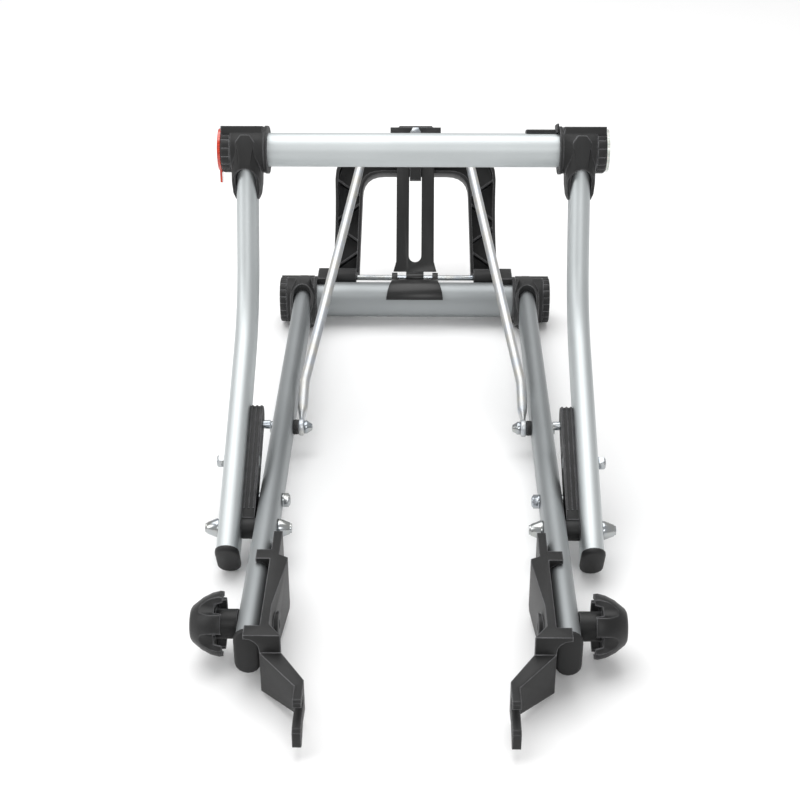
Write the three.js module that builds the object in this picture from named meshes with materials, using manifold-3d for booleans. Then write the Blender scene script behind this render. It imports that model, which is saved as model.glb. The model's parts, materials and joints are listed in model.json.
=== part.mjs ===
// A folding luggage rack: two nested tube frames hinged together, a tilting arch held by a wire bail,
// and a pair of hooked jaws that slide on the inner legs and are clamped by star knobs.
//
// Millimetres, +Z up. X runs across the rack, the hooks point to -Y, the crossbars are at +Y.
// The inner legs define the leg frame: origin on the pivot line, Y along the legs, Z square to them.
import * as THREE from "three";
import { mergeVertices } from "three/addons/utils/BufferGeometryUtils.js";
import Module from "manifold-3d";

const wasm = await Module();
wasm.setup();

const radians = THREE.MathUtils.degToRad;

// ---------------------------------------------------------------- clearances
const GAP = 0.3; // between two pieces that rest on or pass through each other
const SLIDE_GAP = 0.6; // round a piece that slides

// ---------------------------------------------------------------- tubes
const LEG_WIDTH = 18; // flat-oval leg tube, across the rack
const LEG_HEIGHT = 38; // and square to the leg
const BAR_WIDTH = 30; // flat-oval crossbar tube, along the leg
const BAR_HEIGHT = 38;
const TUBE_WALL = 1.6;

// ---------------------------------------------------------------- frames
const INNER_LEG_X = 119.5; // leg centre from the middle plane
const LEG_SPACING = 30.5; // inner leg's centre to the outer leg's
const OUTER_LEG_X = INNER_LEG_X + LEG_SPACING;
const INNER_END = 158; // pivot to the lower end of the inner leg tube
const INNER_BAR_AT = 435.6; // pivot to the inner crossbar
const OUTER_END = 26; // pivot to the lower end of the outer leg tube
const OUTER_KNEE_AT = 226; // pivot to the bend of the outer leg
const OUTER_UPPER = 144.5; // bend to the outer crossbar
const OUTER_KNEE = 39.5; // degrees
const OUTER_KNEE_RADIUS = 130;
const CLOSED_ANGLE = 27.3; // degrees between the lower outer leg and the inner leg when folded

// ---------------------------------------------------------------- corner fittings
const SLEEVE_WALL = 5.5;
const INNER_SLEEVE_IN = 14.6; // leg centre to the fitting's end on the crossbar side
const INNER_SLEEVE_OUT = 17.5; // and to its outer end
const OUTER_SLEEVE_IN = 19.5;
const OUTER_SLEEVE_OUT = 13.5;
const INNER_PLUG = 7.5; // thickness of the fluted end plug
const OUTER_PLUG = 8.5;
const PLUG_FLUTES = 18;
const SOCKET_WALL = 4;
const SOCKET_WEB = 2.5; // between the crossbar's surface and the end of the leg
const BAR_INSERT = 30; // length of crossbar inside each fitting
const TONGUE_LENGTH = 44; // crossbar axis to the tip of the tongues beside the leg
const BOSS_PROUD = 2.5; // the boss round the leg stands this far out of the sleeve
const BOSS_CHAMFER = 2;
const RIDGE_LOW = 12; // flat rib along the back of the sleeve
const RIDGE_HALF = 19;

// ---------------------------------------------------------------- end caps
const CAP_RIM = 0.9; // how far a cap stands proud of its tube
const CAP_THICK = 5;
const CAP_EDGE = 2.4;
const CAP_PLUG = 9;

// ---------------------------------------------------------------- hardware
const PIVOT_BOLT_R = 4;
const PIVOT_SPACER_R = 9;
const CONE_NUT_R = 8;
const CONE_NUT_TIP_R = 4.9;
const CONE_NUT_LENGTH = 10;
const SMALL_BOLT_R = 3;
const NUT_R = 6; // across the corners of the small hexagon nuts
const NUT_THICK = 5.5;
const STOP_BOLT_AT = 42.5; // pivot to the stop bolt on the inner leg
const STOP_HEAD_R = 6.5;
const STOP_HEAD = 5;
const WASHER = 1.5;
const BOLT_END = 1.5; // thread that shows past a nut

// ---------------------------------------------------------------- stop arms
const ARM_THICK = 11;
const ARM_WIDE = 20;
const ARM_TOP = 111; // pivot to the centre of the arm's round end
const ARM_BOLT_AT = 64.7;
const ARM_HEAD_R = 5;
const ARM_HEAD = 3.4;
const STOP_PIN_AT = 105;
const STOP_PIN_R = 3.8;
const STOP_PIN_OUT = 6.4; // how far the pin stands out of the arm

// ---------------------------------------------------------------- arch, slotted plate and hinge
const AXLE_BACK = 23.4; // hinge axle from the inner crossbar's axis, along the leg
const AXLE_UP = 15;
const AXLE_R = 3;
const AXLE_TO_LEG = 14.9; // end of the axle to the leg's centre
const AXLE_HALF = INNER_LEG_X - AXLE_TO_LEG;
const HOLDER_WIDE = 13;
const HOLDER_WALL = 6;
const ARCH_ANGLE = 56; // degrees from the leg to the slotted plate
const ARCH_DEPTH = 20;
const ARCH_WALL = 3;
const ARCH_FOOT_TO_LEG = 29.5;
const ARCH_FOOT_HALF = INNER_LEG_X - ARCH_FOOT_TO_LEG;
const ARCH_WAIST_HALF = ARCH_FOOT_HALF - 3;
const ARCH_WAIST_AT = 51;
const ARCH_LIMB = 29; // width of each limb of the arch
const ARCH_BAND = 27;
const ARCH_OPENING = 116; // axle to the underside of the arch's top band
const ARCH_CORNER = 24;
const ARCH_EYE_WIDE = 26;
const ARCH_EYE_IN = ARCH_FOOT_HALF - ARCH_EYE_WIDE;
const ARCH_EYE_R = 9;
const ARCH_START = 6;
const PLATE_WIDE = 41;
const PLATE_THICK = 3;
const PLATE_TOP = 168;
const PLATE_FLARE = 3;
const SLOT_WIDE = 13.6;
const SLOT_LOW = 17;
const SLOT_HIGH = 161;
const KNUCKLE_R = 5.6;
const KNUCKLE_HALF = 9.5;
const FOOT_KNUCKLE = 6;
const FOOT_TOP_WIDE = 50;
const FOOT_LOW_WIDE = 61;
const FOOT_THICK = 3;
const FOOT_FRONT_LOW = 8; // height of the saddle's front edge over the crossbar's axis

// ---------------------------------------------------------------- wire bail and its clamp
const BAIL_R = 4.75;
const BAIL_PIVOT_AT = 165; // pivot to the bail's bolts on the inner legs
const BAIL_TO_LEG = 16.5;
const BAIL_HALF = INNER_LEG_X - BAIL_TO_LEG;
const BAIL_STRAIGHT = 54;
const BAIL_TOP_HALF = 54;
const BAIL_TOP_AT = 146; // axle to the bail's cross run, along the plate
const BAIL_CORNER = 20;
const BAIL_BEND = 40;
const BAIL_EYE_R = 8;
const BAIL_EYE_THICK = 5;
const BAIL_HEAD = 3;
const BAIL_HEAD_R = 5.5;
const CLAMP_WIDE = 55;
const CLAMP_BED = 5; // thickness under the cross run
const CLAMP_LOW = 18; // clamp's lower edge below the cross run
const CLAMP_HIGH = 17;
const CLAMP_SHOULDER = 13;
const CLAMP_TONGUE = 21; // guide tongue below the clamp, in the slot
const CLAMP_NUT = 6;
const CLAMP_BOLT_UP = 10.5; // clamp bolt above the cross run

// ---------------------------------------------------------------- jaws and knobs
const JAW_THICK = 7;
const JAW_START = 38.7; // pivot to the jaw's upper end
const JAW_TAB_END = 172;
const JAW_TOP = 24; // height of the jaw's upper edge over the leg's axis
const JAW_LOW = 12;
const JAW_DEEP = 28;
const JAW_TAB_REACH = 10;
const JAW_TAB_LONG = 12;
const JAW_UPPER_TAB = 64;
const JAW_CLEAR = 1.4; // from the leg tube, so that the end cap's rim passes
const HOOK_AT = 203; // pivot to where the hook turns straight again
const HOOK_TO_LEG = 42;
const HOOK_X = INNER_LEG_X - HOOK_TO_LEG; // centre of the hook from the middle plane
const HOOK_THICK = 6.5;
const HOOK_UPPER_END = 225;
const HOOK_FINGER_END = 238;
const NOTCH_WIDE = 10;
const NOTCH_MIDDLE = -3;
const NOTCH_DEPTH_AT = 207;
const WEDGE_OUT = 7;
const JAW_BOSS_R = 10;
const JAW_BOSS = 4;
const KNOB_AT = 128;
const KNOB_SLIDE = 16; // how far the jaw slides out along the leg
const STUD_R = 4;
const KNOB_R = 25;
const KNOB_STEM_R = 11.5;
const KNOB_STEM = 11;
const KNOB_HEAD = 25;
const KNOB_FLAT_R = 14;
const KNOB_LOBES = 5;
const KNOB_FLUTE_R = 9.5;

// ---------------------------------------------------------------- reflectors
const REFLECTOR_THICK = 2.6;
const REFLECTOR_INSET = 1.5;
const REFLECTOR_TAIL = 9;
const CLIP_LONG = 29;
const CLIP_THICK = 3;

// ================================================================ solids and sections

function solidOf(geometry) {
  const bare = geometry.clone();
  bare.deleteAttribute("normal");
  bare.deleteAttribute("uv");
  const merged = mergeVertices(bare, 1e-4);
  return new wasm.Manifold(
    new wasm.Mesh({
      numProp: 3,
      vertProperties: new Float32Array(merged.attributes.position.array),
      triVerts: new Uint32Array(merged.index.array),
    }),
  );
}

function geometryOf(solid) {
  const { vertProperties, triVerts } = solid.getMesh();
  const geometry = new THREE.BufferGeometry();
  geometry.setAttribute("position", new THREE.BufferAttribute(vertProperties, 3));
  geometry.setIndex(new THREE.BufferAttribute(triVerts, 1));
  geometry.computeVertexNormals();
  return geometry;
}

const join = (first, ...rest) => rest.reduce((sum, solid) => sum.add(solid), first);
const cut = (first, ...rest) => rest.reduce((left, solid) => left.subtract(solid), first);

const ARC_STEPS = 4; // three.js makes two sides of each, so eight to a half circle

// A flat oval: two half circles joined by straight sides, its long way up the shape's y.
function ovalPath(width, height, path) {
  const radius = width / 2;
  const straight = height / 2 - radius;
  path.moveTo(radius, -straight);
  path.lineTo(radius, straight);
  path.absarc(0, straight, radius, 0, Math.PI, false);
  path.lineTo(-radius, -straight);
  path.absarc(0, -straight, radius, Math.PI, 2 * Math.PI, false);
  return path;
}

const ovalShape = (width, height) => ovalPath(width, height, new THREE.Shape());

function circleShape(radius) {
  const shape = new THREE.Shape();
  shape.absarc(0, 0, radius, 0, 2 * Math.PI, false);
  return shape;
}

function hexShape(radius) {
  const corners = [0, 1, 2, 3, 4, 5].map((i) => {
    const angle = radians(60 * i);
    return new THREE.Vector2(radius * Math.cos(angle), radius * Math.sin(angle));
  });
  return new THREE.Shape(corners);
}

const polygon = (...points) => new THREE.Shape(points.map(([u, v]) => new THREE.Vector2(u, v)));

function extrude(shape, depth, steps = ARC_STEPS) {
  return new THREE.ExtrudeGeometry(shape, { depth, bevelEnabled: false, curveSegments: steps });
}

const ALONG_X = new THREE.Matrix4().makeBasis(
  new THREE.Vector3(0, 1, 0),
  new THREE.Vector3(0, 0, 1),
  new THREE.Vector3(1, 0, 0),
);
const ALONG_Y = new THREE.Matrix4().makeBasis(
  new THREE.Vector3(-1, 0, 0),
  new THREE.Vector3(0, 0, 1),
  new THREE.Vector3(0, 1, 0),
);

// Prisms: the section lies in YZ, XZ or XY, and runs from one station to the other.
function prismX(shape, from, to, steps) {
  return solidOf(extrude(shape, to - from, steps).applyMatrix4(ALONG_X).translate(from, 0, 0));
}

function prismY(shape, from, to, steps) {
  return solidOf(extrude(shape, to - from, steps).applyMatrix4(ALONG_Y).translate(0, from, 0));
}

function prismZ(shape, from, to, steps) {
  return solidOf(extrude(shape, to - from, steps).translate(0, 0, from));
}

function box(x0, x1, y0, y1, z0, z1) {
  const geometry = new THREE.BoxGeometry(x1 - x0, y1 - y0, z1 - z0);
  return solidOf(geometry.translate((x0 + x1) / 2, (y0 + y1) / 2, (z0 + z1) / 2));
}

function rodX(radius, from, to, y = 0, z = 0, steps = 7) {
  return prismX(circleShape(radius), from, to, steps).translate([0, y, z]);
}

// A solid of revolution about X: the profile gives [radius, x] pairs from one end to the other.
function turnedX(profile, steps = 16) {
  const points = profile.map(([radius, x]) => new THREE.Vector2(radius, x));
  const geometry = new THREE.LatheGeometry(points, steps).rotateZ(-Math.PI / 2);
  return solidOf(geometry);
}

// A polyline whose corners are rounded; one step per straight and a few per corner.
class RoundedPath extends THREE.Curve {
  constructor(corners, radii, arcSteps) {
    super();
    this.stations = [corners[0].clone()];
    for (let i = 1; i < corners.length - 1; i += 1) {
      const before = corners[i - 1].clone().sub(corners[i]).normalize();
      const after = corners[i + 1].clone().sub(corners[i]).normalize();
      const half = before.angleTo(after) / 2;
      const reach = radii[i - 1] / Math.tan(half);
      const middle = before.clone().add(after).normalize().multiplyScalar(radii[i - 1] / Math.sin(half));
      const start = before.clone().multiplyScalar(reach).sub(middle);
      const axis = start.clone().cross(after.clone().multiplyScalar(reach).sub(middle)).normalize();
      const turn = Math.PI - 2 * half;
      for (let step = 0; step <= arcSteps; step += 1) {
        const spoke = start.clone().applyAxisAngle(axis, (turn * step) / arcSteps);
        this.stations.push(spoke.add(middle).add(corners[i]));
      }
    }
    this.stations.push(corners[corners.length - 1].clone());
    this.count = this.stations.length - 1;
  }

  getPoint(t) {
    const place = Math.min(Math.max(t, 0), 1) * this.count;
    const index = Math.min(Math.floor(place), this.count - 1);
    return this.stations[index].clone().lerp(this.stations[index + 1], place - index);
  }

  getUtoTmapping(u) {
    return u;
  }

  getTangent(t) {
    const station = Math.round(t * this.count);
    const before = this.stations[Math.max(station - 1, 0)];
    const here = this.stations[station];
    const after = this.stations[Math.min(station + 1, this.count)];
    const arriving = here.clone().sub(before).normalize();
    return arriving.add(after.clone().sub(here).normalize()).normalize();
  }
}

function sweep(shape, path, steps = ARC_STEPS) {
  const options = { steps: path.count, extrudePath: path, curveSegments: steps };
  return solidOf(new THREE.ExtrudeGeometry(shape, options));
}

function tubeShape(width, height) {
  const shape = ovalShape(width, height);
  shape.holes.push(ovalPath(width - 2 * TUBE_WALL, height - 2 * TUBE_WALL, new THREE.Path()));
  return shape;
}

// ================================================================ the scene graph

const part = new THREE.Group();

const ALUMINIUM = { color: 0xb9bcbf, roughness: 0.35, metalness: 0.9 };
const BLACK = { color: 0x1d1e20, roughness: 0.6, metalness: 0 };
const ZINC = { color: 0xc4c2ba, roughness: 0.25, metalness: 1 };
const STEEL = { color: 0x2a2b2e, roughness: 0.45, metalness: 0.4 };
const AMBER = { color: 0xe8431d, roughness: 0.25, metalness: 0 };
const CLEAR = { color: 0xe6e8e2, roughness: 0.2, metalness: 0 };

function addPiece(group, name, solid, look) {
  const mesh = new THREE.Mesh(geometryOf(solid), new THREE.MeshStandardMaterial(look));
  mesh.name = name;
  group.add(mesh);
  return mesh;
}

// Both sides of the rack: the right-hand solid is made at +X and its mirror image at -X.
function addPair(group, name, solid, look) {
  addPiece(group, `${name}_right`, solid, look);
  addPiece(group, `${name}_left`, solid.mirror([1, 0, 0]), look);
}

function subgroup(parent, y, z, angle) {
  const group = new THREE.Group();
  group.position.set(0, y, z);
  group.rotation.x = radians(angle);
  parent.add(group);
  return group;
}

const innerFrame = new THREE.Group();
part.add(innerFrame);
const outerFrame = subgroup(innerFrame, 0, 0, CLOSED_ANGLE);
const axleY = INNER_BAR_AT + AXLE_BACK;
const archFrame = subgroup(innerFrame, axleY, AXLE_UP, ARCH_ANGLE);
const bailFrame = subgroup(innerFrame, BAIL_PIVOT_AT, 0, 0);

// ================================================================ parts both frames share

const SLEEVE_HALF_Y = BAR_WIDTH / 2 + SLEEVE_WALL;
const SLEEVE_HALF_Z = BAR_HEIGHT / 2 + SLEEVE_WALL;
const SOCKET_HALF_X = LEG_WIDTH / 2 + SOCKET_WALL;
const BOSS_DEEP = SLEEVE_HALF_Z + BOSS_PROUD;
const LEG_STOP = BAR_WIDTH / 2 + SOCKET_WEB; // crossbar axis to the end of the leg tube

// The crossbar's section lies in YZ, so its long way is up Z.
function crossbar(legX, sleeveIn) {
  const half = legX - sleeveIn + BAR_INSERT;
  return prismX(tubeShape(BAR_WIDTH, BAR_HEIGHT), -half, half);
}

// A corner fitting, with its crossbar axis on the origin and its leg coming from -Y.
function cornerFitting(sleeveIn, sleeveOut, plug) {
  const sleeve = prismX(ovalShape(2 * SLEEVE_HALF_Y, 2 * SLEEVE_HALF_Z), -sleeveIn, sleeveOut);
  const collar = prismX(
    ovalShape(2 * SLEEVE_HALF_Y + 1.6, 2 * SLEEVE_HALF_Z + 1.6),
    -sleeveIn,
    -sleeveIn + 3,
  );
  const ridgeEnd = sleeveOut + plug;
  const ridge = box(-sleeveIn + 4, ridgeEnd, RIDGE_LOW, SLEEVE_HALF_Y - 0.4, -RIDGE_HALF, RIDGE_HALF);
  const boss = socketBoss();
  const bar = prismX(ovalShape(BAR_WIDTH + 2 * GAP, BAR_HEIGHT + 2 * GAP), -sleeveIn - 1, BAR_INSERT - sleeveIn + GAP);
  const leg = prismY(
    ovalShape(LEG_WIDTH + 2 * GAP, LEG_HEIGHT + 2 * GAP),
    -TONGUE_LENGTH - 1,
    -LEG_STOP + GAP,
  );
  return cut(join(sleeve, collar, ridge, boss), bar, leg, socketMouth());
}

// The pointed arch that carries the leg's socket up over the sleeve, and its tongues.
function socketBoss() {
  const half = SOCKET_HALF_X;
  const front = new THREE.Shape();
  front.moveTo(-half + 1, -TONGUE_LENGTH + 5);
  front.lineTo(-half, -SLEEVE_HALF_Y);
  front.quadraticCurveTo(-half, 2, -4, RIDGE_LOW);
  front.lineTo(4, RIDGE_LOW);
  front.quadraticCurveTo(half, 2, half, -SLEEVE_HALF_Y);
  front.lineTo(half - 1, -TONGUE_LENGTH + 5);
  front.lineTo(half - 3, -TONGUE_LENGTH);
  front.lineTo(-half + 3, -TONGUE_LENGTH);
  const deep = BOSS_DEEP;
  const side = polygon(
    [-TONGUE_LENGTH, -7],
    [-TONGUE_LENGTH, 7],
    [-SLEEVE_HALF_Y - 7, deep - 9],
    [-SLEEVE_HALF_Y + BOSS_CHAMFER, deep],
    [RIDGE_LOW, deep - 4],
    [RIDGE_LOW, -deep + 4],
    [-SLEEVE_HALF_Y + BOSS_CHAMFER, -deep],
    [-SLEEVE_HALF_Y - 7, -deep + 9],
  );
  const round = prismY(ovalShape(2 * half, 2 * deep), -TONGUE_LENGTH - 1, RIDGE_LOW + 1);
  return prismZ(front, -deep, deep, 4).intersect(prismX(side, -half, half)).intersect(round);
}

// The arched mouth in front of and behind the leg, between the tongues.
function socketMouth() {
  const half = LEG_WIDTH / 2 + GAP;
  const mouth = new THREE.Shape();
  mouth.moveTo(-half, -TONGUE_LENGTH - 1);
  mouth.lineTo(half, -TONGUE_LENGTH - 1);
  mouth.lineTo(half, -SLEEVE_HALF_Y - 7);
  mouth.absarc(0, -SLEEVE_HALF_Y - 7, half, 0, Math.PI, false);
  return prismZ(mouth, -SLEEVE_HALF_Z - 4, SLEEVE_HALF_Z + 4);
}

// The fluted plug that closes the sleeve's outer end, trimmed under the ridge.
function endPlug(sleeveOut, plug) {
  const outline = ovalShape(2 * SLEEVE_HALF_Y, 2 * SLEEVE_HALF_Z).getSpacedPoints(4 * PLUG_FLUTES);
  outline.pop();
  const fluted = outline.map((point, i) => {
    const inset = i % 4 < 2 ? 0 : 1;
    return point.clone().multiplyScalar(1 - inset / SLEEVE_HALF_Y);
  });
  const ring = prismX(new THREE.Shape(fluted), sleeveOut + GAP, sleeveOut + plug);
  const high = SLEEVE_HALF_Z + 1;
  return ring.intersect(box(sleeveOut, sleeveOut + plug + 1, -high, RIDGE_LOW - GAP, -high, high));
}

// A cap pushed into the lower end of a leg tube: y is the tube's end, and the cap looks to -Y.
function legCap(x, y) {
  const cap = solidOf(
    new THREE.ExtrudeGeometry(ovalShape(LEG_WIDTH + 2 * (CAP_RIM - CAP_EDGE), LEG_HEIGHT + 2 * (CAP_RIM - CAP_EDGE)), {
      depth: CAP_THICK - CAP_EDGE,
      bevelThickness: CAP_EDGE,
      bevelSize: CAP_EDGE,
      bevelSegments: 3,
      curveSegments: ARC_STEPS,
    })
      .applyMatrix4(ALONG_Y)
      .translate(0, y - CAP_THICK + CAP_EDGE, 0),
  );
  const half = 2 * (TUBE_WALL + GAP);
  const trimmed = cap.intersect(box(-LEG_WIDTH, LEG_WIDTH, y - 2 * CAP_THICK, y - GAP, -LEG_HEIGHT, LEG_HEIGHT));
  const plug = prismY(ovalShape(LEG_WIDTH - half, LEG_HEIGHT - half), y - CAP_THICK / 2, y + CAP_PLUG);
  return join(trimmed, plug).translate([x, 0, 0]);
}

// Across-the-rack hardware at +X, given from its inner to its outer station.
const hexX = (radius, from, to) => prismX(hexShape(radius), from, to, 1);

// ================================================================ inner frame

const INNER_FACE = INNER_LEG_X - LEG_WIDTH / 2;
const INNER_OUT = INNER_LEG_X + LEG_WIDTH / 2;
const OUTER_FACE = OUTER_LEG_X - LEG_WIDTH / 2;
const OUTER_OUT = OUTER_LEG_X + LEG_WIDTH / 2;

function innerLeg() {
  const top = INNER_BAR_AT - LEG_STOP;
  const tube = prismY(tubeShape(LEG_WIDTH, LEG_HEIGHT), -INNER_END, top).translate([INNER_LEG_X, 0, 0]);
  const hole = (radius, y) => rodX(radius + GAP, INNER_FACE - 1, INNER_OUT + 1, y);
  const slot = box(
    INNER_FACE - 1,
    INNER_OUT + 1,
    -KNOB_AT - KNOB_SLIDE,
    -KNOB_AT,
    -STUD_R - GAP,
    STUD_R + GAP,
  );
  return cut(
    tube,
    hole(PIVOT_BOLT_R, 0),
    hole(SMALL_BOLT_R, STOP_BOLT_AT),
    hole(SMALL_BOLT_R, BAIL_PIVOT_AT),
    join(slot, hole(STUD_R, -KNOB_AT), hole(STUD_R, -KNOB_AT - KNOB_SLIDE)),
  );
}

addPair(innerFrame, "inner_leg", innerLeg(), ALUMINIUM);
addPiece(innerFrame, "inner_crossbar", crossbar(INNER_LEG_X, INNER_SLEEVE_IN).translate([0, INNER_BAR_AT, 0]), ALUMINIUM);
addPair(
  innerFrame,
  "inner_corner",
  cornerFitting(INNER_SLEEVE_IN, INNER_SLEEVE_OUT, INNER_PLUG).translate([INNER_LEG_X, INNER_BAR_AT, 0]),
  BLACK,
);
addPair(
  innerFrame,
  "inner_end_plug",
  endPlug(INNER_SLEEVE_OUT, INNER_PLUG).translate([INNER_LEG_X, INNER_BAR_AT, 0]),
  BLACK,
);
addPair(innerFrame, "inner_leg_cap", legCap(INNER_LEG_X, -INNER_END), BLACK);

// ---------------------------------------------------------------- pivot and stop bolts

function coneNut(from, outwards) {
  const at = (x) => from + outwards * x;
  const length = CONE_NUT_LENGTH;
  const bore = PIVOT_BOLT_R + GAP;
  const section = [
    [bore, at(0)],
    [CONE_NUT_R, at(0)],
    [CONE_NUT_R, at(2)],
    [CONE_NUT_TIP_R, at(length)],
    [bore, at(length)],
    [bore, at(0)],
  ];
  return turnedX(outwards > 0 ? section : section.reverse());
}

const pivotInner = INNER_FACE - GAP - CONE_NUT_LENGTH - BOLT_END;
const pivotOuter = OUTER_OUT + GAP + CONE_NUT_LENGTH + BOLT_END;
addPair(innerFrame, "pivot_bolt", rodX(PIVOT_BOLT_R, pivotInner, pivotOuter), ZINC);
addPair(innerFrame, "pivot_nut_inner", coneNut(INNER_FACE - GAP, -1), ZINC);
addPair(innerFrame, "pivot_nut_outer", coneNut(OUTER_OUT + GAP, 1), ZINC);
addPair(
  innerFrame,
  "pivot_spacer",
  cut(
    rodX(PIVOT_SPACER_R, INNER_OUT + GAP, OUTER_FACE - GAP),
    rodX(PIVOT_BOLT_R + GAP, INNER_OUT, OUTER_FACE),
  ),
  BLACK,
);

const nutStart = INNER_FACE - GAP;
addPair(
  innerFrame,
  "stop_bolt",
  join(
    rodX(STOP_HEAD_R, INNER_OUT + GAP, INNER_OUT + GAP + STOP_HEAD),
    rodX(SMALL_BOLT_R, nutStart - NUT_THICK - BOLT_END, INNER_OUT + 1),
  ).translate([0, STOP_BOLT_AT, 0]),
  ZINC,
);
addPair(
  innerFrame,
  "stop_nut",
  cut(
    join(hexX(NUT_R, nutStart - NUT_THICK, nutStart - 1), rodX(NUT_R, nutStart - WASHER, nutStart)),
    rodX(SMALL_BOLT_R + GAP, nutStart - NUT_THICK - 1, nutStart + 1),
  ).translate([0, STOP_BOLT_AT, 0]),
  ZINC,
);

// ---------------------------------------------------------------- hinge axle, its holders and the saddle

addPiece(innerFrame, "hinge_axle", rodX(AXLE_R, -AXLE_HALF, AXLE_HALF, axleY, AXLE_UP), ZINC);

// A block that rests on the back of the crossbar and carries one end of the axle.
function axleHolder() {
  const radius = AXLE_R + HOLDER_WALL;
  const block = prismX(
    polygon(
      [INNER_BAR_AT - 2, BAR_HEIGHT / 2 + 7],
      [INNER_BAR_AT - 2, 8],
      [INNER_BAR_AT, -2],
      [axleY + radius, -2],
      [axleY + radius, AXLE_UP + radius - 4],
      [axleY + radius - 4, AXLE_UP + radius],
    ),
    AXLE_HALF - HOLDER_WIDE,
    AXLE_HALF,
  );
  const bar = prismX(ovalShape(BAR_WIDTH + 2 * GAP, BAR_HEIGHT + 2 * GAP), 0, INNER_LEG_X);
  const bore = rodX(AXLE_R + GAP, 0, INNER_LEG_X, axleY, AXLE_UP);
  return cut(block, bar.translate([0, INNER_BAR_AT, 0]), bore);
}
addPair(innerFrame, "axle_holder", axleHolder(), BLACK);

// The saddle over the crossbar that carries the slotted plate's hinge.
function plateSaddle() {
  const outer = ovalShape(BAR_WIDTH + 2 * (GAP + FOOT_THICK), BAR_HEIGHT + 2 * (GAP + FOOT_THICK));
  const inner = ovalShape(BAR_WIDTH + 2 * GAP, BAR_HEIGHT + 2 * GAP);
  const half = FOOT_LOW_WIDE / 2;
  const front = INNER_BAR_AT - BAR_WIDTH;
  const wrap = cut(prismX(outer, -half, half), prismX(inner, -half - 1, half + 1));
  const upper = wrap
    .translate([0, INNER_BAR_AT, 0])
    .intersect(box(-half, half, front, axleY, FOOT_FRONT_LOW, BAR_HEIGHT));
  const top = INNER_BAR_AT + BAR_WIDTH / 2;
  const plan = polygon(
    [-half, front],
    [half, front],
    [half, INNER_BAR_AT - BAR_WIDTH / 2 - FOOT_THICK],
    [FOOT_TOP_WIDE / 2, INNER_BAR_AT],
    [FOOT_TOP_WIDE / 2, top + 2],
    [-FOOT_TOP_WIDE / 2, top + 2],
    [-FOOT_TOP_WIDE / 2, INNER_BAR_AT],
    [-half, INNER_BAR_AT - BAR_WIDTH / 2 - FOOT_THICK],
  );
  const plate = upper.intersect(prismZ(plan, 0, BAR_HEIGHT));
  const barrel = (side) => {
    const from = side * (FOOT_TOP_WIDE / 2 - FOOT_KNUCKLE / 2) - FOOT_KNUCKLE / 2;
    const web = box(from, from + FOOT_KNUCKLE, top - 2, axleY, AXLE_UP - 3, AXLE_UP + 3);
    return join(rodX(KNUCKLE_R, from, from + FOOT_KNUCKLE, axleY, AXLE_UP), web);
  };
  const bore = rodX(AXLE_R + GAP, -half, half, axleY, AXLE_UP);
  const bar = prismX(inner, -half - 1, half + 1).translate([0, INNER_BAR_AT, 0]);
  return cut(join(plate, barrel(1), barrel(-1)), bore, bar);
}
addPiece(innerFrame, "plate_saddle", plateSaddle(), STEEL);

// ================================================================ outer frame

const outerBarY = OUTER_KNEE_AT + OUTER_UPPER * Math.cos(radians(OUTER_KNEE));
const outerBarZ = OUTER_UPPER * Math.sin(radians(OUTER_KNEE));

// The leg is swept in the XY plane and turned upright, which puts its long section in the bend.
function outerLeg() {
  const upper = new THREE.Vector3(Math.sin(radians(OUTER_KNEE)), Math.cos(radians(OUTER_KNEE)), 0);
  const knee = new THREE.Vector3(0, OUTER_KNEE_AT, 0);
  const corners = [
    new THREE.Vector3(0, -OUTER_END, 0),
    knee,
    knee.clone().addScaledVector(upper, OUTER_UPPER - LEG_STOP),
  ];
  const path = new RoundedPath(corners, [OUTER_KNEE_RADIUS], 6);
  const tube = sweep(tubeShape(LEG_WIDTH, LEG_HEIGHT), path).rotate([0, -90, 0]);
  const hole = (radius, y) => rodX(radius + GAP, -LEG_WIDTH, LEG_WIDTH, y);
  return cut(tube, hole(PIVOT_BOLT_R, 0), hole(SMALL_BOLT_R, ARM_BOLT_AT)).translate([OUTER_LEG_X, 0, 0]);
}

const topFrame = subgroup(outerFrame, outerBarY, outerBarZ, OUTER_KNEE);
addPair(outerFrame, "outer_leg", outerLeg(), ALUMINIUM);
addPiece(topFrame, "outer_crossbar", crossbar(OUTER_LEG_X, OUTER_SLEEVE_IN), ALUMINIUM);
addPair(
  topFrame,
  "outer_corner",
  cornerFitting(OUTER_SLEEVE_IN, OUTER_SLEEVE_OUT, OUTER_PLUG).translate([OUTER_LEG_X, 0, 0]),
  BLACK,
);
addPair(topFrame, "outer_end_plug", endPlug(OUTER_SLEEVE_OUT, OUTER_PLUG).translate([OUTER_LEG_X, 0, 0]), BLACK);
addPair(outerFrame, "outer_leg_cap", legCap(OUTER_LEG_X, -OUTER_END), BLACK);

// ---------------------------------------------------------------- reflectors and the clip

function reflector(tail) {
  const from = OUTER_LEG_X + OUTER_SLEEVE_OUT + OUTER_PLUG + GAP;
  const to = from + REFLECTOR_THICK;
  const lens = prismX(
    ovalShape(2 * (SLEEVE_HALF_Y - REFLECTOR_INSET), 2 * (SLEEVE_HALF_Z - REFLECTOR_INSET)),
    from,
    to,
  );
  const drop = SLEEVE_HALF_Y + REFLECTOR_TAIL * tail;
  const wedge = prismX(polygon([-drop, -4], [-drop, 4], [0, 12], [0, -12]), from, to - 0.6);
  return tail > 0 ? join(lens, wedge) : lens;
}
addPiece(topFrame, "amber_reflector", reflector(1).mirror([1, 0, 0]), AMBER);
addPiece(topFrame, "clear_reflector", reflector(0), CLEAR);

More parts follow.
